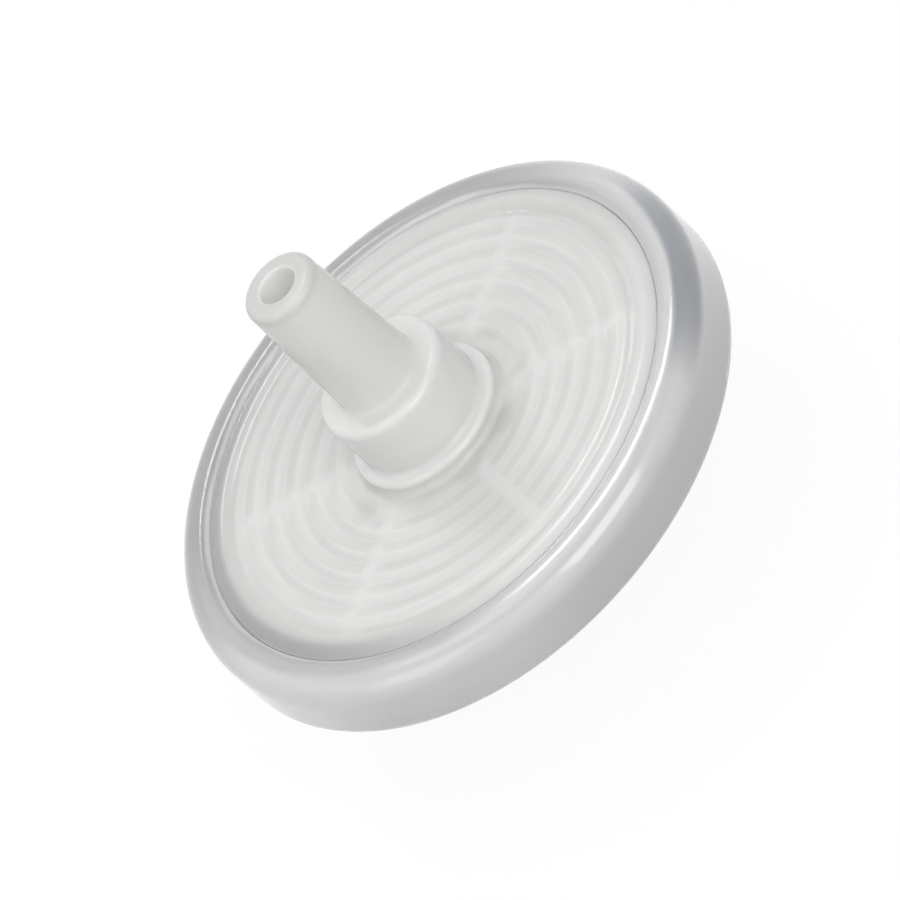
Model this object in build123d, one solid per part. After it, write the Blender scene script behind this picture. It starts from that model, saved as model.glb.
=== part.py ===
from build123d import *
import os

# A 25 mm disc syringe filter. It stands on the mouth of its inlet hub, with the
# outlet nozzle pointing up. The origin is the centre of the inlet mouth, +Z runs
# along the flow towards the outlet, and every length is in millimetres.

# --- Luer fittings ------------------------------------------------------------
luer_taper = 0.06  # change of diameter for each millimetre of length
nozzle_tip_diameter = 3.97
nozzle_length = 7.9
nozzle_bore_diameter = 2.0
nozzle_tip_round = 0.4
nozzle_bore_round = 0.12
nozzle_foot_fillet = 0.3
socket_mouth_diameter = 4.29
socket_taper_length = 8.0
socket_well_length = 0.9
socket_mouth_chamfer = 0.12
inlet_channel_diameter = 2.0

# --- hub and boss -------------------------------------------------------------
hub_length = 8.8
hub_wall = 1.205  # from the socket's mouth to the outside of the hub
hub_foot_fillet = 0.8
hub_mouth_round = 0.15
lug_height = 0.55
lug_setback = 0.1
lug_foot_width = 1.6
lug_crest_width = 0.7
lug_arc = 52.0
lug_count = 2
boss_shoulder_width = 1.228  # from the nozzle's foot to the outside of the boss
boss_height = 4.15
boss_shoulder_round = 0.4
boss_waist_fillet = 0.3
step_width = 0.6
step_height = 0.75
step_round = 0.3
step_foot_fillet = 0.35

# --- membrane and the plates that clamp it --------------------------------------
membrane_diameter = 25.0
membrane_thickness = 0.15
membrane_edge_gap = 0.05
clamp_land = 0.8  # how far each plate grips in from the membrane's edge
inlet_plate_thickness = 1.8
inlet_chamber_depth = 0.2
outlet_plate_thickness = 1.6

# --- membrane support under the outlet plate ------------------------------------
drain_depth = 0.85
ridge_count = 7
ridge_width = 0.5
ridge_edge_distance = 0.57  # from the filtration edge to the outermost ridge's centre
ridge_cone_distance = 1.48  # from the drain cone to the innermost ridge's centre
channel_count = 6
channel_width = 0.8
channel_angle = 30.0
drain_cone_diameter = 5.0
drain_cone_depth = 3.0

# --- spacer ribs on the inlet floor ---------------------------------------------
rib_count = 6
rib_width = 0.5
rib_top_gap = 0.04
rib_inner_gap = 1.2
rib_outer_gap = 0.6

# --- lips, flanges and the ring moulded over them ---------------------------------
flange_margin = 1.4  # from the membrane's edge to the edge of both flanges
flange_overlap = 0.9  # how far the ring grips in over the flanges
flange_inset = 0.95  # how far both flanges lie behind the plates' faces
lip_width = 1.3  # from the bottom of the valley inside the lip to the seam
lip_rise = 0.02  # of the lip's crest over the plate's face
lip_crest_width = 0.35
lip_round = 0.5
valley_width = 0.4  # from the plate's flat face to the bottom of the valley
valley_depth = 0.15
seam_drop = 0.2  # how far the seam lies behind the plate's face
rim_wall = 1.1  # ring outside the flanges
rim_inset = 0.02  # how far the ring lies behind the plate's face
rim_lead_in_width = 0.45  # the ring's slope from the seam up to its crest
rim_lead_in_depth = 0.18
rim_lead_in_round = 0.08
rim_crest_round = 0.5
rim_shoulder_round = 1.2
rim_bottom_round = 0.5
seam_gap = 0.02

# --- levels along the axis --------------------------------------------------------
inlet_face_z = hub_length
inlet_floor_z = inlet_face_z + inlet_plate_thickness
membrane_z = inlet_floor_z + inlet_chamber_depth
joint_z = membrane_z + membrane_thickness
outlet_face_z = joint_z + outlet_plate_thickness
step_top_z = outlet_face_z + step_height
boss_top_z = outlet_face_z + boss_height
nozzle_tip_z = boss_top_z + nozzle_length
flange_top_z = outlet_face_z - flange_inset
flange_bottom_z = inlet_face_z + flange_inset
rim_top_z = outlet_face_z - rim_inset
rim_bottom_z = inlet_face_z + rim_inset

# --- radii, outwards from the axis ---------------------------------------------------
bore_radius = nozzle_bore_diameter / 2
channel_radius = inlet_channel_diameter / 2
cone_radius = drain_cone_diameter / 2
tip_radius = nozzle_tip_diameter / 2
nozzle_foot_radius = tip_radius + luer_taper / 2 * nozzle_length
boss_radius = nozzle_foot_radius + boss_shoulder_width
step_radius = boss_radius + step_width
mouth_radius = socket_mouth_diameter / 2
well_radius = mouth_radius - luer_taper / 2 * socket_taper_length
hub_radius = mouth_radius + hub_wall
membrane_radius = membrane_diameter / 2
filtration_radius = membrane_radius - clamp_land
pocket_radius = membrane_radius + membrane_edge_gap
flange_radius = membrane_radius + flange_margin
seam_radius = flange_radius - flange_overlap
valley_radius = seam_radius - lip_width
rim_radius = flange_radius + rim_wall
rim_inner_radius = seam_radius + seam_gap
rim_crest_radius = rim_inner_radius + rim_lead_in_width


def turned(corners):
    """A solid of revolution about Z from (radius, height, corner rounding) triples."""
    points = [(radius, height) for radius, height, rounding in corners]
    roundings = [rounding for radius, height, rounding in corners]
    outline = Plane.XZ * FilletPolyline(*points, radius=roundings, close=True)
    return revolve(make_face(outline), Axis.Z)


def disc(radius, bottom_z, height):
    """A flat round slab that starts at bottom_z and rises by height."""
    return Pos(0, 0, bottom_z) * extrude(Circle(radius), height)


def annulus(inner_radius, outer_radius, bottom_z, height):
    """A flat ring that starts at bottom_z and rises by height."""
    return disc(outer_radius, bottom_z, height) - disc(inner_radius, bottom_z, height)


def spoke(inner_radius, outer_radius, width, bottom_z, height, angle):
    """A straight radial bar on one side of the axis."""
    length = outer_radius - inner_radius
    bar = Box(length, width, height, align=(Align.MIN, Align.CENTER, Align.MIN))
    return Rot(0, 0, angle) * Pos(inner_radius, 0, bottom_z) * bar


def spokes(count, first_angle, inner_radius, outer_radius, width, bottom_z, height):
    """Evenly spaced radial bars as a list."""
    step = 360 / count
    return [
        spoke(inner_radius, outer_radius, width, bottom_z, height, first_angle + i * step)
        for i in range(count)
    ]


def lip_corners(face_z, outward):
    """Corners of the valley and the lip round a plate, out to the seam. outward is +1 up or -1 down."""
    crest_z = face_z + outward * lip_rise
    crest_middle = (valley_radius + seam_radius) / 2
    return [
        (valley_radius - valley_width, face_z, lip_round),
        (valley_radius, face_z - outward * valley_depth, lip_round),
        (crest_middle - lip_crest_width / 2, crest_z, lip_round),
        (crest_middle + lip_crest_width / 2, crest_z, lip_round),
        (seam_radius, face_z - outward * seam_drop, 0),
    ]


def drain_pattern():
    """Concentric support ridges broken by radial channels, on the underside of the outlet plate."""
    field = disc(filtration_radius, joint_z, drain_depth)
    outermost = filtration_radius - ridge_edge_distance
    innermost = cone_radius + ridge_cone_distance
    for i in range(ridge_count):
        middle = innermost + (outermost - innermost) * i / (ridge_count - 1)
        field -= annulus(middle - ridge_width / 2, middle + ridge_width / 2, joint_z, drain_depth)
    for channel in spokes(
        channel_count, channel_angle, 0, filtration_radius - seam_gap, channel_width, joint_z, drain_depth
    ):
        field += channel
    return field


def make_outlet_housing():
    """Outlet plate with its lip, stepped boss, male Luer slip nozzle and drain pattern."""
    body = turned(
        [
            (cone_radius, joint_z, 0),
            (bore_radius, joint_z + drain_cone_depth, 0),
            (bore_radius, nozzle_tip_z, nozzle_bore_round),
            (tip_radius, nozzle_tip_z, nozzle_tip_round),
            (nozzle_foot_radius, boss_top_z, nozzle_foot_fillet),
            (boss_radius, boss_top_z, boss_shoulder_round),
            (boss_radius, step_top_z, boss_waist_fillet),
            (step_radius, step_top_z, step_round),
            (step_radius, outlet_face_z, step_foot_fillet),
            *lip_corners(outlet_face_z, 1),
            (seam_radius, flange_top_z, 0),
            (flange_radius, flange_top_z, 0),
            (flange_radius, joint_z, 0),
        ]
    )
    return body - drain_pattern()


def make_membrane():
    """The thin filter disc, clamped between the two plates."""
    return disc(membrane_radius, membrane_z, membrane_thickness)


def make_inlet_housing():
    """Inlet plate with its lip, female Luer lock hub, lugs and spacer ribs."""
    well_floor_z = socket_taper_length + socket_well_length
    body = turned(
        [
            (channel_radius, inlet_floor_z, 0),
            (channel_radius, well_floor_z, 0),
            (well_radius, well_floor_z, 0),
            (well_radius, socket_taper_length, 0),
            (mouth_radius, socket_mouth_chamfer, 0),
            (mouth_radius + socket_mouth_chamfer, 0, 0),
            (hub_radius, 0, hub_mouth_round),
            (hub_radius, inlet_face_z, hub_foot_fillet),
            *lip_corners(inlet_face_z, -1),
            (seam_radius, flange_bottom_z, 0),
            (flange_radius, flange_bottom_z, 0),
            (flange_radius, joint_z, 0),
            (pocket_radius, joint_z, 0),
            (pocket_radius, membrane_z, 0),
            (filtration_radius, membrane_z, 0),
            (filtration_radius, inlet_floor_z, 0),
        ]
    )
    rib_height = inlet_chamber_depth - rib_top_gap
    for rib in spokes(
        rib_count,
        channel_angle,
        channel_radius + rib_inner_gap,
        filtration_radius - rib_outer_gap,
        rib_width,
        inlet_floor_z,
        rib_height,
    ):
        body += rib
    for i in range(lug_count):
        body += Rot(0, 0, i * 360 / lug_count) * make_lug()
    return body


def make_lug():
    """One short thread lug of the Luer lock, centred on +X and sunk a little into the hub."""
    root_radius = hub_radius - lug_setback
    crest_radius = hub_radius + lug_height
    slope = (lug_foot_width - lug_crest_width) / 2
    outline = Plane.XZ * Polyline(
        (root_radius, lug_setback),
        (crest_radius, lug_setback + slope),
        (crest_radius, lug_setback + slope + lug_crest_width),
        (root_radius, lug_setback + lug_foot_width),
        close=True,
    )
    return Rot(0, 0, -lug_arc / 2) * revolve(make_face(outline), Axis.Z, revolution_arc=lug_arc)


def make_overmould_ring():
    """The ring moulded round the flanges of both plates, which seals and joins them."""
    back_radius = flange_radius + seam_gap
    return turned(
        [
            (rim_inner_radius, flange_top_z, 0),
            (rim_inner_radius, rim_top_z - rim_lead_in_depth, rim_lead_in_round),
            (rim_crest_radius, rim_top_z, rim_crest_round),
            (rim_radius, rim_top_z, rim_shoulder_round),
            (rim_radius, rim_bottom_z, rim_bottom_round),
            (rim_crest_radius, rim_bottom_z, rim_crest_round),
            (rim_inner_radius, rim_bottom_z + rim_lead_in_depth, rim_lead_in_round),
            (rim_inner_radius, flange_bottom_z, 0),
            (back_radius, flange_bottom_z, 0),
            (back_radius, flange_top_z, 0),
        ]
    )


pieces = {
    "inlet_housing": make_inlet_housing(),
    "membrane": make_membrane(),
    "outlet_housing": make_outlet_housing(),
    "overmould_ring": make_overmould_ring(),
}

os.makedirs("parts", exist_ok=True)
for node, shape in pieces.items():
    export_step(shape, f"parts/{node}.step")
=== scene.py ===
"""Finishes and lights a disc syringe filter that stands on its inlet hub, nozzle up."""

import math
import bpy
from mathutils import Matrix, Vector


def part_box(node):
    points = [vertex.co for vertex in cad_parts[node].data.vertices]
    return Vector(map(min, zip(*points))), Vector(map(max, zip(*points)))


bl_info = {
    "name": "Syringe Filter",
    "version": (1, 0, 0),
    "blender": (4, 5, 0),
    "location": "View3D > Sidebar > Syringe Filter",
    "description": "Moulded plastic finishes for a disc syringe filter, and a plain studio stage",
    "category": "Object",
}

import bmesh
import bpy
from bpy.props import FloatProperty, FloatVectorProperty, IntProperty, PointerProperty
from bpy.types import NodeSocket, Operator, Panel, PropertyGroup
from mathutils import Matrix, Vector

# The ring's crest lies this far behind the plate's face, in metres.
RING_INSET = 0.00002

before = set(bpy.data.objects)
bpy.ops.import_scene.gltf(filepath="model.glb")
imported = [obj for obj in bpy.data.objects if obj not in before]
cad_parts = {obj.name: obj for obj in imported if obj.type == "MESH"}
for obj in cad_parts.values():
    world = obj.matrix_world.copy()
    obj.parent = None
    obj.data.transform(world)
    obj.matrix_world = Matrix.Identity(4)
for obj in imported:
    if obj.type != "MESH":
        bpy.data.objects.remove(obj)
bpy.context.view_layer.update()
plate_face_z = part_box("overmould_ring")[1].z + RING_INSET
nozzle_tip_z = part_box("outlet_housing")[1].z

# Spans over which the tints fade in, from nothing to full, in metres; most of the tints are painted
# light and shade. Radii are from the axis, and levels are from the plate's face, or from the
# nozzle's tip for TIP_LEVELS. The lip's round bands have one span for each edge.
FOOT_RADII = (0.0062, 0.0046)
BOSS_RADII = (0.0052, 0.0048)
BORE_RADII = (0.0014, 0.0011)
TIP_RADII = (0.0010, 0.0012)
LIP_CREST_RADII = ((0.0117, 0.0120), (0.0132, 0.0129))
LIP_SHADE_RADII = ((0.0119, 0.0125), (0.0131, 0.0129))
SHOULDER_RADII = (0.0139, 0.0143)
DIP_RADII = (0.0142, 0.0137)
SEAM_RADII = (0.0133, 0.0131)
NEAR_PLATE_LEVELS = (0.0006, 0.0001)
BOSS_LEVELS = (0.0003, 0.0007)
STEM_LEVELS = (0.003, 0.006)
UPPER_LEVELS = (-0.0014, -0.0008)
LOWER_LEVELS = (-0.0008, -0.0016)
TIP_LEVELS = (-0.0008, -0.0002)

# Arcs of painted light and shade round the axis: middle, half width and blur of the ends, in
# degrees.
LIP_HIGHLIGHT_ARC = (-54, 38, 22)
LIP_SHADE_ARC = (160, 60, 34)
FAR_SHADE_ARC = (103, 76, 28)
DIP_SHADE_ARC = (-146, 44, 26)
CREST_HIGHLIGHT_ARC = (-72, 30, 20)
SHOULDER_LIGHT_ARC = (-142, 30, 20)
SIDE_SHADE_ARC = (-52, 50, 16)
FLANK_SHADE_ARC = (-30, 12, 10)
DARK_REFLECTION_ARC = (-20, 20, 14)

# Soft edges of the support pattern. The field and spokes fade over lengths from their edge,
# in metres, and the ribs over shares of the rib pitch.
FIELD_OUTER_FADE = (0.0001, -0.0003)
FIELD_INNER_FADE = (0, 0.0006)
SPOKE_FADE = (0.00015, -0.00020)
RIB_FADE = (0.12, -0.12)
RIB_OUTLINE_FADE = (0.14, 0.02)

# Shares of the rib colour on the middle of a rib, on all ribs and on the radial channels.
RIB_BODY_SHARE = 0.5
RIB_SHARE = 0.75
SPOKE_SHARE = 0.7

# Where patches and clouds fade in, as values of their noise, and where specks do, as
# distances in a cell. A cell holds a speck if its red is over SPECK_RARITY.
PATCH_SPREAD = (0.42, 0.62)
CLOUD_SPREAD = (0.35, 0.68)
SPECK_SPREAD = (0.06, 0.02)
SPECK_RARITY = 0.85

# Least and most that the skin's roughness and the film's colour are multiplied by.
GLOSS_SPREAD = (0.75, 1.3)
FELT_SPREAD = (0.94, 1.04)

PLASTIC_IOR = 1.49
SCATTER_RADIUS = (1.0, 0.96, 0.9)

# Name, place, side of the square and power in watts of each softbox.
LAMPS = (
    ("Key softbox", (0.079, -0.296, 0.270), 0.25, 0.66),
    ("Overhead softbox", (-0.042, 0.10, 0.40), 0.25, 0.24),
    ("Fill softbox", (-0.30, -0.10, 0.20), 0.20, 0.15),
    ("Back light", (0.037, 0.262, 0.363), 0.12, 0.27),
)

# The floor's colour for the light that bounces off it, and as it is seen.
FLOOR_BOUNCE = (0.6, 0.6, 0.6)
FLOOR_SEEN = (0.95, 0.95, 0.95)
WHITE = (1, 1, 1, 1)

# Sockets of the Mix node for colours, which share their names with its other data types.
MIX_A, MIX_B, MIX_RESULT = 6, 7, 2


def colour_property(name, description, default):
    return FloatVectorProperty(
        name=name, description=description, subtype="COLOR", size=3, min=0, max=1, default=default
    )


def factor_property(name, description, default):
    return FloatProperty(
        name=name, description=description, subtype="FACTOR", min=0, max=1, default=default
    )


def length_property(name, description, default):
    return FloatProperty(
        name=name,
        description=description,
        subtype="DISTANCE",
        unit="LENGTH",
        precision=5,
        default=default,
    )


def angle_property(name, description, degrees):
    return FloatProperty(
        name=name, description=description, subtype="ANGLE", default=math.radians(degrees)
    )


class HousingFinish(PropertyGroup):
    """Finish of both housings"""

    colour: colour_property("Colour", "Body of the natural polypropylene", (0.86, 0.855, 0.837))
    cloud: colour_property("Cloud", "Denser clouds in the plastic", (0.815, 0.815, 0.80))
    # The rib colour also lays the painted light inside the bore.
    rib: colour_property("Rib", "Where the support ribs show through", (0.925, 0.925, 0.915))
    thin: colour_property("Thin wall", "The hollow nozzle", (0.85, 0.85, 0.828))
    # Painted light: the boss is lighter than the body, standing in for the light its thick plastic
    # scatters.
    boss: colour_property("Boss", "The thick boss, which scatters most", (0.985, 0.975, 0.95))
    # Painted shade: soft darker patches round the boss's foot, next to the plate.
    foot: colour_property("Foot shade", "Patches at the boss's foot", (0.74, 0.74, 0.73))
    speck: colour_property("Speck", "The few tiny inclusions", (0.50, 0.50, 0.49))
    # Painted shade: the nozzle's mouth is darkened where its face catches the most light.
    tip: colour_property("Tip", "Mouth of the nozzle", (0.72, 0.72, 0.705))
    # Painted shade: the lip is darkened on its far-left arc, away from the key softbox.
    lip_painted_shade: colour_property("Lip dusk", "Lip where it is denser", (0.51, 0.50, 0.51))
    # Painted highlight: the lip's crest is lightened on its near-right arc, towards the key
    # softbox.
    lip_painted_highlight: colour_property("Lip light", "Lip where it is palest", (0.98, 0.98, 0.95))
    roughness: factor_property("Roughness", "Roughness of the moulded skin", 0.55)
    clarity: factor_property("Clarity", "Share of the light that passes straight through", 0.42)
    milk: factor_property("Milkiness", "Share of the light that scatters inside", 0.8)
    milk_depth: length_property("Milk depth", "How far the light spreads inside", 0.0005)
    coat: factor_property("Coat", "Weight of the smooth skin over the milky plastic", 0.6)
    coat_roughness: factor_property("Coat roughness", "Roughness of the smooth skin", 0.12)


class SupportPattern(PropertyGroup):
    """Ribs and channels that show through the outlet plate"""

    first_rib: length_property("First rib", "Radius of the innermost support rib", 0.00398)
    rib_pitch: length_property("Rib pitch", "From one support rib to the next", 0.0011917)
    rib_width: length_property("Rib width", "Width of a support rib", 0.0005)
    spoke_width: length_property("Spoke width", "Width of a radial channel", 0.0008)
    spoke_count: IntProperty(
        name="Spokes", description="Number of radial channels", min=1, default=6
    )
    inner_radius: length_property("Inner radius", "Where the pattern starts", 0.0046)
    outer_radius: length_property("Outer radius", "Edge of the filtration area", 0.0115)


class RingFinish(PropertyGroup):
    """Finish of the overmoulded ring"""

    colour: colour_property("Colour", "Body of the ring", (0.84, 0.84, 0.843))
    cloud: colour_property("Cloud", "Denser clouds in the ring", (0.785, 0.785, 0.79))
    roughness: factor_property("Roughness", "Roughness of the ring's skin", 0.35)
    clarity: factor_property("Clarity", "Share of the light that passes straight through", 0.45)
    milk: factor_property("Milkiness", "Share of the light that scatters inside", 0.6)
    milk_depth: length_property("Milk depth", "How far the light spreads inside", 0.002)
    smoke: colour_property("Smoke", "Tint that deepens with thickness", (0.56, 0.57, 0.59))
    smoke_density: FloatProperty(
        name="Smoke density", description="Absorption for each metre of plastic", min=0, default=60
    )
    # Painted shade along the ring's far side, away from the key softbox.
    dusk: colour_property("Dusk", "The long denser arc", (0.48, 0.465, 0.46))
    # Painted shade in the dip between the lip and the shoulder, on its near-left arc.
    band: colour_property("Band", "The smoky dip to the seam", (0.66, 0.655, 0.67))
    # Painted shade on the right of the shoulder and the side wall.
    flank_painted_shade: colour_property("Flank", "The greyer shoulder and side", (0.69, 0.685, 0.69))
    # Painted reflection: a dark blue-grey band on the shoulder's right arc, as a dark surround
    # would mirror.
    streak: colour_property("Streak", "The blue-grey flow streak", (0.35, 0.37, 0.405))
    # Painted light on the shoulder's near-left arc.
    pale: colour_property("Pale arc", "Clearest part of the shoulder", (0.89, 0.89, 0.88))
    # Painted highlight on the crest's near-right arc, and painted light over the seam.
    crest: colour_property("Crest light", "Crest where it is palest", (0.98, 0.98, 0.98))
    coat: factor_property("Coat", "Weight of the smooth skin over the milky plastic", 1.0)
    coat_roughness: factor_property("Coat roughness", "Roughness of the smooth skin", 0.10)


class MembraneFinish(PropertyGroup):
    """Finish of the filter disc"""

    colour: colour_property("Colour", "Colour of the microporous film", (0.88, 0.88, 0.87))
    pore_size: length_property("Pore pattern", "Size of the felted texture", 0.00012)
    roughness: factor_property("Roughness", "Roughness of the film", 0.85)


class StudioStage(PropertyGroup):
    """Camera, floor and soft light"""

    elevation: angle_property("Elevation", "Height of the camera above the horizon", 37.45)
    roll: angle_property("Roll", "Turn of the camera about its own axis", 48.4)
    distance: length_property("Distance", "From the camera to the point it looks at", 1.5)
    target: FloatVectorProperty(
        name="Target",
        description="Point the camera looks at",
        subtype="TRANSLATION",
        unit="LENGTH",
        size=3,
        default=(-0.00038, -0.00070, 0.01108),
    )
    lens: FloatProperty(
        name="Lens", description="Focal length on a 36 mm sensor, in millimetres", default=1280.4
    )
    floor_size: length_property("Floor size", "Side of the square floor", 3.0)
    shadow: factor_property("Shadow", "Depth of the shadow that the floor keeps", 0.08)
    ambient: FloatProperty(
        name="Ambient", description="Strength of the soft light from all round", min=0, default=0.71
    )


class NodeTree:
    """Small helper that adds nodes to a tree and joins their sockets."""

    def __init__(self, tree):
        self.tree = tree

    def add(self, kind, label=None, **values):
        node = self.tree.nodes.new(kind)
        if label:
            node.label = label
        for name, value in values.items():
            setattr(node, name, value)
        return node

    def link(self, source, target):
        self.tree.links.new(source, target)

    def feed(self, target, value):
        """Links target to value if that is a socket, and sets target to value if it isn't."""
        if isinstance(value, NodeSocket):
            self.link(value, target)
        else:
            target.default_value = value

    def place(self):
        """Place on the piece, which is its place on the whole object too."""
        return self.add("ShaderNodeTexCoord").outputs["Object"]


def maths(t, operation, a, b=0.0, label=None):
    """One Math node, from sockets or plain numbers."""
    node = t.add("ShaderNodeMath", label, operation=operation)
    for socket, value in zip(node.inputs, (a, b)):
        t.feed(socket, value)
    return node.outputs["Value"]


def mixed(t, factor, a, b, label=None, blend_type="MIX"):
    """One colour Mix node, from sockets or plain colours."""
    node = t.add("ShaderNodeMix", label, data_type="RGBA", blend_type=blend_type)
    t.feed(node.inputs["Factor"], factor)
    for index, value in ((MIX_A, a), (MIX_B, b)):
        t.feed(node.inputs[index], value if isinstance(value, NodeSocket) else (*value, 1))
    return node.outputs[MIX_RESULT]


def tinted(t, colour, layers):
    """Lays tints over a colour, each through its own mask."""
    for label, mask, tint in layers:
        colour = mixed(t, mask, colour, tint, label)
    return colour


def noise(t, label, scale, detail):
    """Soft noise over the piece."""
    node = t.add("ShaderNodeTexNoise", label)
    t.feed(node.inputs["Scale"], scale)
    t.feed(node.inputs["Detail"], detail)
    t.link(t.place(), node.inputs["Vector"])
    return node.outputs["Fac"]


def bumped(t, label, height, distance, strength, normal=None):
    """One Bump node, over another one if its normal is given."""
    node = t.add("ShaderNodeBump", label)
    t.link(height, node.inputs["Height"])
    t.feed(node.inputs["Distance"], distance)
    t.feed(node.inputs["Strength"], strength)
    if normal is not None:
        t.link(normal, node.inputs["Normal"])
    return node.outputs["Normal"]


def remapped(t, value, label, source=(0, 1), result=(0, 1)):
    """A straight change from one range to another, held at its ends."""
    node = t.add("ShaderNodeMapRange", label)
    t.link(value, node.inputs["Value"])
    for name, number in zip(("From Min", "From Max", "To Min", "To Max"), (*source, *result)):
        t.feed(node.inputs[name], number)
    return node.outputs["Result"]


def soft_step(t, value, start, end, label=None):
    """0 before start and 1 after end, with a smooth slope between them."""
    node = t.add("ShaderNodeMapRange", label, interpolation_type="SMOOTHSTEP")
    low, high = (start, end) if start < end else (end, start)
    node.inputs["From Min"].default_value = low
    node.inputs["From Max"].default_value = high
    if start > end:
        node.inputs["To Min"].default_value = 1
        node.inputs["To Max"].default_value = 0
    t.link(value, node.inputs["Value"])
    return node.outputs["Result"]


def step_from(t, value, base, span, label=None):
    """A soft step over a span that is measured from a base."""
    return soft_step(t, value, base + span[0], base + span[1], label)


def overlap(t, *masks):
    """1 where every mask is 1, as the product of them all."""
    shared = masks[0]
    for mask in masks[1:]:
        shared = maths(t, "MULTIPLY", shared, mask)
    return shared


def round_band(t, radius, spans):
    """1 on a round band, between the soft steps at its inner and its outer edge."""
    return overlap(t, *(soft_step(t, radius, *span) for span in spans))


def polar(t, drift=0):
    """Radius and angle about the axis, and height. drift is how far the radius wanders."""
    split = t.add("ShaderNodeSeparateXYZ")
    t.link(t.place(), split.inputs["Vector"])
    x, y = split.outputs["X"], split.outputs["Y"]
    squares = maths(t, "ADD", maths(t, "MULTIPLY", x, x), maths(t, "MULTIPLY", y, y))
    radius = maths(t, "SQRT", squares, label="Radius")
    if drift:
        wander = maths(t, "SUBTRACT", noise(t, "Wander", scale=150, detail=2), 0.5)
        radius = maths(t, "ADD", radius, maths(t, "MULTIPLY", wander, drift), "Wandering radius")
    return radius, maths(t, "ARCTAN2", y, x, "Angle"), split.outputs["Z"]


def arc(t, angle, middle, half, blur):
    """1 on an arc round the axis and 0 off it, in degrees, with blurred ends."""
    swing = maths(t, "COSINE", maths(t, "SUBTRACT", angle, math.radians(middle)))
    start = math.cos(math.radians(half + blur))
    end = math.cos(math.radians(half - blur))
    return soft_step(t, swing, start, end)


def from_nearest(t, value):
    """How far a value is from the nearest whole number, negative if it is below it."""
    return maths(t, "SUBTRACT", value, maths(t, "ROUND", value))


def moulded_surface_group():
    """Cloudy colour, uneven gloss and fine lathe marks of a moulded plastic skin."""
    name = "Moulded surface"
    group = bpy.data.node_groups.get(name)
    if group:
        return group
    group = bpy.data.node_groups.new(name, "ShaderNodeTree")
    face = group.interface
    for label, kind, default in (
        ("Colour", "NodeSocketColor", (0.8, 0.8, 0.8, 1)),
        ("Cloud", "NodeSocketColor", (0.7, 0.7, 0.7, 1)),
        ("Roughness", "NodeSocketFloat", 0.25),
        ("Cloud scale", "NodeSocketFloat", 260.0),
        ("Lathe marks", "NodeSocketFloat", 0.1),
        ("Unevenness", "NodeSocketFloat", 0.1),
    ):
        socket = face.new_socket(name=label, in_out="INPUT", socket_type=kind)
        socket.default_value = default
    for label, kind in (
        ("Colour", "NodeSocketColor"),
        ("Roughness", "NodeSocketFloat"),
        ("Normal", "NodeSocketVector"),
    ):
        face.new_socket(name=label, in_out="OUTPUT", socket_type=kind)

    t = NodeTree(group)
    given = t.add("NodeGroupInput").outputs
    result = t.add("NodeGroupOutput").inputs

    clouds = noise(t, "Clouds", scale=given["Cloud scale"], detail=3)
    clouds = remapped(t, clouds, "Cloud spread", source=CLOUD_SPREAD)
    t.link(mixed(t, clouds, given["Colour"], given["Cloud"], "Cloudy colour"), result["Colour"])

    grain = noise(t, "Skin grain", scale=1400, detail=4)
    gloss = remapped(t, grain, "Gloss spread", result=GLOSS_SPREAD)
    t.link(maths(t, "MULTIPLY", given["Roughness"], gloss, "Uneven gloss"), result["Roughness"])

    marks = t.add("ShaderNodeTexWave", "Lathe marks", wave_type="RINGS", rings_direction="Z")
    marks.inputs["Scale"].default_value = 900
    marks.inputs["Distortion"].default_value = 1.5
    marks.inputs["Detail"].default_value = 2
    t.link(t.place(), marks.inputs["Vector"])
    marked = bumped(
        t,
        "Lathe mark bump",
        marks.outputs["Fac"],
        distance=0.000004,
        strength=given["Lathe marks"],
    )
    rippled = bumped(
        t,
        "Ripple bump",
        noise(t, "Ripple", scale=420, detail=2),
        distance=0.0001,
        strength=given["Unevenness"],
        normal=marked,
    )
    t.link(rippled, result["Normal"])
    return group


def support_pattern_group(pattern):
    """Masks of the round ribs and radial channels that show through the outlet plate."""
    name = "Support pattern"
    group = bpy.data.node_groups.get(name)
    if group:
        return group
    group = bpy.data.node_groups.new(name, "ShaderNodeTree")
    for label in ("Ribs", "Spokes"):
        group.interface.new_socket(name=label, in_out="OUTPUT", socket_type="NodeSocketFloat")
    t = NodeTree(group)
    result = t.add("NodeGroupOutput").inputs
    radius, angle, _ = polar(t)
    field = overlap(
        t,
        step_from(t, radius, pattern.outer_radius, FIELD_OUTER_FADE, "Inside the edge"),
        step_from(t, radius, pattern.inner_radius, FIELD_INNER_FADE, "Outside the boss"),
    )

    past_first = maths(t, "SUBTRACT", radius, pattern.first_rib)
    pitches = maths(t, "DIVIDE", past_first, pattern.rib_pitch)
    off = maths(t, "ABSOLUTE", from_nearest(t, pitches), label="Rib pitches off")
    half = pattern.rib_width / 2 / pattern.rib_pitch
    body = maths(t, "MULTIPLY", step_from(t, off, half, RIB_FADE, "Rib"), RIB_BODY_SHARE)
    off_edge = maths(t, "ABSOLUTE", maths(t, "SUBTRACT", off, half))
    outline = soft_step(t, off_edge, *RIB_OUTLINE_FADE, "Rib outline")
    t.link(overlap(t, maths(t, "MAXIMUM", body, outline), field), result["Ribs"])

    sector = 2 * math.pi / pattern.spoke_count
    turns = maths(t, "DIVIDE", maths(t, "SUBTRACT", angle, sector / 2), sector)
    swing = maths(t, "MULTIPLY", from_nearest(t, turns), sector)
    across = maths(t, "MULTIPLY", maths(t, "SINE", swing), radius)
    aside = maths(t, "ABSOLUTE", across, label="Aside of the spoke")
    spoke = step_from(t, aside, pattern.spoke_width / 2, SPOKE_FADE, "Spoke")
    t.link(overlap(t, spoke, field), result["Spokes"])
    return group


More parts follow.
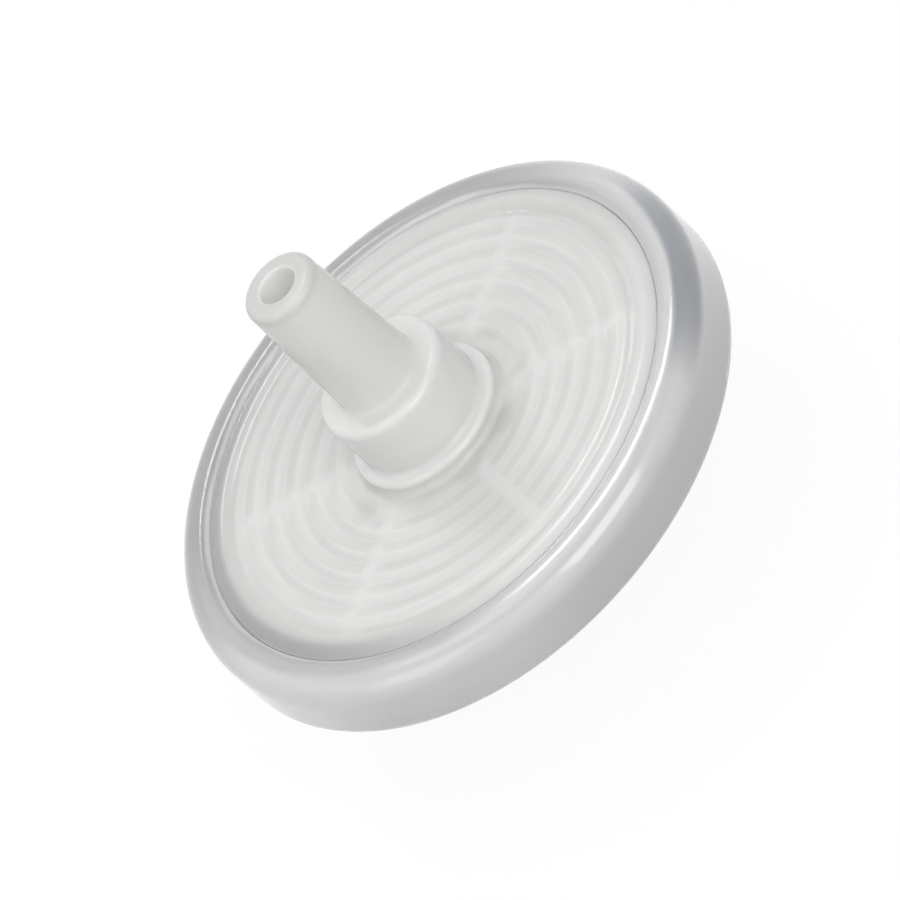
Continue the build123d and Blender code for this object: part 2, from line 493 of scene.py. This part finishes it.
def moulded_plastic(name, finish, cloud_scale, lathe_marks, unevenness):
    """A milky moulded plastic. Gives its material, tree, shader and cloudy colour."""
    material = bpy.data.materials.new(name)
    material.use_nodes = True
    t = NodeTree(material.node_tree)
    shader = material.node_tree.nodes["Principled BSDF"]
    surface = t.add("ShaderNodeGroup", "Moulded surface", node_tree=moulded_surface_group())
    for label, value in (
        ("Colour", (*finish.colour, 1)),
        ("Cloud", (*finish.cloud, 1)),
        ("Roughness", finish.roughness),
        ("Cloud scale", cloud_scale),
        ("Lathe marks", lathe_marks),
        ("Unevenness", unevenness),
    ):
        surface.inputs[label].default_value = value
    for label, value in (
        ("Base Color", surface.outputs["Colour"]),
        ("Roughness", surface.outputs["Roughness"]),
        ("Normal", surface.outputs["Normal"]),
        ("IOR", PLASTIC_IOR),
        ("Transmission Weight", finish.clarity),
        ("Subsurface Weight", finish.milk),
        ("Subsurface Scale", finish.milk_depth),
        ("Subsurface Radius", SCATTER_RADIUS),
        ("Coat Weight", finish.coat),
        ("Coat Roughness", finish.coat_roughness),
    ):
        t.feed(shader.inputs[label], value)
    return material, t, shader, surface.outputs["Colour"]


def dress(node, material):
    """Gives a CAD node one material."""
    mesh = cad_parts[node].data
    mesh.materials.clear()
    mesh.materials.append(material)


class SYRINGE_OT_outlet_housing(Operator):
    """Gives the outlet housing its milky plastic, with the support ribs showing through and painted
    light and shade on the boss, its foot, the bore, the tip and the lip
    """

    bl_idname = "syringe_filter.outlet_housing"
    bl_label = "Outlet Housing"

    def execute(self, context):
        finish = context.scene.syringe_housing
        pattern = support_pattern_group(context.scene.syringe_pattern)
        material, t, shader, colour = moulded_plastic(
            "Outlet polypropylene", finish, cloud_scale=240, lathe_marks=0.25, unevenness=0.1
        )
        ribs = t.add("ShaderNodeGroup", "Support pattern", node_tree=pattern)
        rib = maths(t, "MULTIPLY", ribs.outputs["Ribs"], RIB_SHARE)
        spoke = maths(t, "MULTIPLY", ribs.outputs["Spokes"], SPOKE_SHARE)
        radius, angle, height = polar(t, drift=0.0003)
        stem = step_from(t, height, plate_face_z, STEM_LEVELS, "Height over the plate")
        foot = soft_step(t, radius, *FOOT_RADII, "Foot of the boss")
        low = step_from(t, height, plate_face_z, NEAR_PLATE_LEVELS, "Near the plate")
        inside_boss = soft_step(t, radius, *BOSS_RADII, "Inside the boss")
        over_plate = step_from(t, height, plate_face_z, BOSS_LEVELS, "Over the plate")
        bore = soft_step(t, radius, *BORE_RADII, "Bore")
        tip = step_from(t, height, nozzle_tip_z, TIP_LEVELS, "Tip face")
        outside_bore = soft_step(t, radius, *TIP_RADII, "Outside the bore")
        crest = round_band(t, radius, LIP_CREST_RADII)
        dusk = round_band(t, radius, LIP_SHADE_RADII)
        layers = (
            ("Ribs", maths(t, "MAXIMUM", rib, spoke), finish.rib),
            # Painted shade in patches round the boss's foot, next to the plate.
            ("Foot shade", overlap(t, foot, low, self.patches(t)), finish.foot),
            ("Specks", self.specks(t), finish.speck),
            # Painted light over the boss.
            ("Boss", overlap(t, inside_boss, over_plate), finish.boss),
            ("Thin wall", stem, finish.thin),
            # Painted light inside the bore, lifting the shade of its hollow.
            ("Bore light", overlap(t, stem, bore), finish.rib),
            # Painted shade on the nozzle's tip face.
            ("Tip", overlap(t, tip, outside_bore), finish.tip),
            # Painted highlight on the lip's crest, on its near-right arc.
            ("Lip light", overlap(t, crest, arc(t, angle, *LIP_HIGHLIGHT_ARC)), finish.lip_painted_highlight),
            # Painted shade on the lip's far-left arc.
            ("Lip dusk", overlap(t, dusk, arc(t, angle, *LIP_SHADE_ARC)), finish.lip_painted_shade),
        )
        t.link(tinted(t, colour, layers), shader.inputs["Base Color"])
        dress("outlet_housing", material)
        return {"FINISHED"}

    def patches(self, t):
        """Soft patches that come and go."""
        return soft_step(t, noise(t, "Patches", scale=380, detail=2), *PATCH_SPREAD)

    def specks(self, t):
        """A few dots, in about one cell of seven."""
        cells = t.add("ShaderNodeTexVoronoi", "Speck cells")
        cells.inputs["Scale"].default_value = 300
        t.link(t.place(), cells.inputs["Vector"])
        chosen = t.add("ShaderNodeSeparateColor")
        t.link(cells.outputs["Color"], chosen.inputs["Color"])
        rare = maths(t, "GREATER_THAN", chosen.outputs["Red"], SPECK_RARITY)
        return overlap(t, soft_step(t, cells.outputs["Distance"], *SPECK_SPREAD), rare)


class SYRINGE_OT_inlet_housing(Operator):
    """Gives the inlet plate and its hub their milky moulded plastic"""

    bl_idname = "syringe_filter.inlet_housing"
    bl_label = "Inlet Housing"

    def execute(self, context):
        material, *_ = moulded_plastic(
            "Inlet polypropylene",
            context.scene.syringe_housing,
            cloud_scale=300,
            lathe_marks=0.25,
            unevenness=0.1,
        )
        dress("inlet_housing", material)
        return {"FINISHED"}


class SYRINGE_OT_overmould_ring(Operator):
    """Gives the sealing ring its clearer moulded plastic, which greys where it is thick, with
    painted light and shade in arcs round it
    """

    bl_idname = "syringe_filter.overmould_ring"
    bl_label = "Overmould Ring"

    def execute(self, context):
        finish = context.scene.syringe_ring
        material, t, shader, colour = moulded_plastic(
            "Ring polypropylene", finish, cloud_scale=180, lathe_marks=0.05, unevenness=0.8
        )
        smoke = t.add("ShaderNodeVolumeAbsorption", "Smoke")
        smoke.inputs["Color"].default_value = (*finish.smoke, 1)
        smoke.inputs["Density"].default_value = finish.smoke_density
        output = material.node_tree.nodes["Material Output"]
        t.link(smoke.outputs["Volume"], output.inputs["Volume"])
        radius, angle, height = polar(t, drift=0.0004)
        dip = soft_step(t, radius, *DIP_RADII, "Dip to the seam")
        lower = step_from(t, height, plate_face_z, LOWER_LEVELS, "Lower part")
        shoulder = overlap(
            t,
            soft_step(t, radius, *SHOULDER_RADII, "Shoulder"),
            step_from(t, height, plate_face_z, UPPER_LEVELS, "Upper part"),
        )
        layers = (
            # Painted shade along the ring's far side.
            ("Dusk", arc(t, angle, *FAR_SHADE_ARC), finish.dusk),
            # Painted shade in the dip to the seam, on its near-left arc.
            ("Band", overlap(t, dip, arc(t, angle, *DIP_SHADE_ARC)), finish.band),
            # Painted highlight on the ring's crest, on its near-right arc.
            ("Crest light", overlap(t, dip, arc(t, angle, *CREST_HIGHLIGHT_ARC)), finish.crest),
            # Painted light over the seam, lifting the shade in its crevice.
            ("Seam", soft_step(t, radius, *SEAM_RADII), finish.crest),
            # Painted light on the shoulder's near-left arc.
            ("Pale arc", overlap(t, shoulder, arc(t, angle, *SHOULDER_LIGHT_ARC)), finish.pale),
            # Painted shade on the lower side wall, on its near-right arc.
            ("Side", overlap(t, lower, arc(t, angle, *SIDE_SHADE_ARC)), finish.flank_painted_shade),
            # Painted shade on the shoulder's right arc.
            ("Flank", overlap(t, shoulder, arc(t, angle, *FLANK_SHADE_ARC)), finish.flank_painted_shade),
            # Painted dark reflection on the shoulder's right arc.
            ("Streak", overlap(t, shoulder, arc(t, angle, *DARK_REFLECTION_ARC)), finish.streak),
        )
        t.link(tinted(t, colour, layers), shader.inputs["Base Color"])
        dress("overmould_ring", material)
        return {"FINISHED"}


class SYRINGE_OT_membrane(Operator):
    """Gives the filter disc its white felted film"""

    bl_idname = "syringe_filter.membrane"
    bl_label = "Membrane"

    def execute(self, context):
        finish = context.scene.syringe_membrane
        material = bpy.data.materials.new("Microporous film")
        material.use_nodes = True
        t = NodeTree(material.node_tree)
        shader = material.node_tree.nodes["Principled BSDF"]
        felt = noise(t, "Felt", scale=1 / finish.pore_size, detail=5)
        shade = remapped(t, felt, "Felt shade", result=FELT_SPREAD)
        colour = mixed(t, 1, finish.colour, shade, "Felt colour", blend_type="MULTIPLY")
        t.link(colour, shader.inputs["Base Color"])
        bump = bumped(t, "Felt bump", felt, distance=0.00001, strength=0.5)
        t.link(bump, shader.inputs["Normal"])
        shader.inputs["Roughness"].default_value = finish.roughness
        dress("membrane", material)
        return {"FINISHED"}


def white_to_the_eye(t):
    """1 for the rays that show the backdrop: camera, mirror and glass rays."""
    path = t.add("ShaderNodeLightPath").outputs
    either = maths(t, "MAXIMUM", path["Is Camera Ray"], path["Is Glossy Ray"])
    return maths(t, "MAXIMUM", either, path["Is Transmission Ray"])


def area_lamp(name, location, size, power):
    """A square softbox that faces the middle of the plate, unseen through clear plastic."""
    data = bpy.data.lights.new(name, "AREA")
    data.shape = "SQUARE"
    data.size = size
    data.energy = power
    lamp = bpy.data.objects.new(name, data)
    lamp.location = location
    lamp.visible_transmission = False
    aim = Vector((0, 0, plate_face_z)) - Vector(location)
    lamp.rotation_euler = aim.to_track_quat("-Z", "Y").to_euler()
    bpy.context.scene.collection.objects.link(lamp)


class SYRINGE_OT_studio_stage(Operator):
    """Builds the floor, the lamps, the pale surround and the camera"""

    bl_idname = "syringe_filter.studio_stage"
    bl_label = "Studio Stage"

    def execute(self, context):
        stage = context.scene.syringe_stage
        self.build_floor(context.scene, stage)
        self.build_surround(context.scene, stage)
        for lamp in LAMPS:
            area_lamp(*lamp)
        self.build_camera(context.scene, stage)
        context.scene.view_settings.view_transform = "Standard"
        return {"FINISHED"}

    def build_floor(self, scene, stage):
        """A wide floor that looks white and keeps a faint shadow."""
        mesh = bpy.data.meshes.new("studio_floor")
        bm = bmesh.new()
        bmesh.ops.create_grid(bm, x_segments=1, y_segments=1, size=stage.floor_size / 2)
        bm.to_mesh(mesh)
        bm.free()
        floor = bpy.data.objects.new("studio_floor", mesh)
        scene.collection.objects.link(floor)
        material = bpy.data.materials.new("Studio floor")
        material.use_nodes = True
        t = NodeTree(material.node_tree)
        nodes = material.node_tree.nodes
        nodes.remove(nodes["Principled BSDF"])
        seen = white_to_the_eye(t)
        paper = t.add("ShaderNodeBsdfDiffuse", "Paper")
        shade = mixed(t, seen, FLOOR_BOUNCE, FLOOR_SEEN, "Paper colour")
        t.link(shade, paper.inputs["Color"])
        glow = t.add("ShaderNodeEmission", "White ground")
        mix = t.add("ShaderNodeMixShader")
        t.link(maths(t, "MULTIPLY", seen, 1 - stage.shadow, "White share"), mix.inputs["Fac"])
        t.link(paper.outputs["BSDF"], mix.inputs[1])
        t.link(glow.outputs["Emission"], mix.inputs[2])
        t.link(mix.outputs["Shader"], nodes["Material Output"].inputs["Surface"])
        mesh.materials.append(material)

    def build_surround(self, scene, stage):
        """A world that looks white and lights the part less than it shows."""
        world = bpy.data.worlds.new("Studio surround")
        world.use_nodes = True
        scene.world = world
        t = NodeTree(world.node_tree)
        nodes = world.node_tree.nodes
        soft = nodes["Background"]
        soft.inputs["Color"].default_value = WHITE
        soft.inputs["Strength"].default_value = stage.ambient
        white = t.add("ShaderNodeBackground", "White surround")
        white.inputs["Color"].default_value = WHITE
        mix = t.add("ShaderNodeMixShader")
        t.link(white_to_the_eye(t), mix.inputs["Fac"])
        t.link(soft.outputs["Background"], mix.inputs[1])
        t.link(white.outputs["Background"], mix.inputs[2])
        t.link(mix.outputs["Shader"], nodes["World Output"].inputs["Surface"])

    def build_camera(self, scene, stage):
        """A long lens that looks down on the filter from -Y, rolled about its own axis."""
        e, r = stage.elevation, stage.roll
        back = Vector((0, -math.cos(e), math.sin(e)))
        level_right, level_up = Vector((1, 0, 0)), Vector((0, math.sin(e), math.cos(e)))
        right = level_right * math.cos(r) - level_up * math.sin(r)
        up = level_right * math.sin(r) + level_up * math.cos(r)
        data = bpy.data.cameras.new("Studio camera")
        data.sensor_width = 36
        data.lens = stage.lens
        data.clip_start = 0.01
        data.clip_end = 10
        camera = bpy.data.objects.new("Studio camera", data)
        place = Matrix.Translation(Vector(stage.target) + back * stage.distance)
        camera.matrix_world = place @ Matrix((right, up, back)).transposed().to_4x4()
        scene.collection.objects.link(camera)
        scene.camera = camera


class SYRINGE_PT_panel(Panel):
    """Lists the finishes and the stage of the syringe filter"""

    bl_idname = "SYRINGE_PT_panel"
    bl_label = "Syringe Filter"
    bl_space_type = "VIEW_3D"
    bl_region_type = "UI"
    bl_category = "Syringe Filter"

    def draw(self, context):
        layout = self.layout
        layout.use_property_split = True
        for group, operator in PANEL_ROWS:
            settings = getattr(context.scene, group)
            box = layout.box()
            for name in settings.__annotations__:
                box.prop(settings, name)
            box.operator(operator)


PANEL_ROWS = (
    ("syringe_housing", "syringe_filter.inlet_housing"),
    ("syringe_pattern", "syringe_filter.outlet_housing"),
    ("syringe_ring", "syringe_filter.overmould_ring"),
    ("syringe_membrane", "syringe_filter.membrane"),
    ("syringe_stage", "syringe_filter.studio_stage"),
)

GROUPS = {
    "syringe_housing": HousingFinish,
    "syringe_pattern": SupportPattern,
    "syringe_ring": RingFinish,
    "syringe_membrane": MembraneFinish,
    "syringe_stage": StudioStage,
}

CLASSES = (
    *GROUPS.values(),
    SYRINGE_OT_outlet_housing,
    SYRINGE_OT_inlet_housing,
    SYRINGE_OT_overmould_ring,
    SYRINGE_OT_membrane,
    SYRINGE_OT_studio_stage,
    SYRINGE_PT_panel,
)


def register():
    for cls in CLASSES:
        bpy.utils.register_class(cls)
    for name, group in GROUPS.items():
        setattr(bpy.types.Scene, name, PointerProperty(type=group))


def unregister():
    for name in GROUPS:
        delattr(bpy.types.Scene, name)
    for cls in reversed(CLASSES):
        bpy.utils.unregister_class(cls)


def main():
    register()
    bpy.ops.syringe_filter.inlet_housing()
    bpy.ops.syringe_filter.membrane()
    bpy.ops.syringe_filter.outlet_housing()
    bpy.ops.syringe_filter.overmould_ring()
    bpy.ops.syringe_filter.studio_stage()


if __name__ == "__main__":
    main()
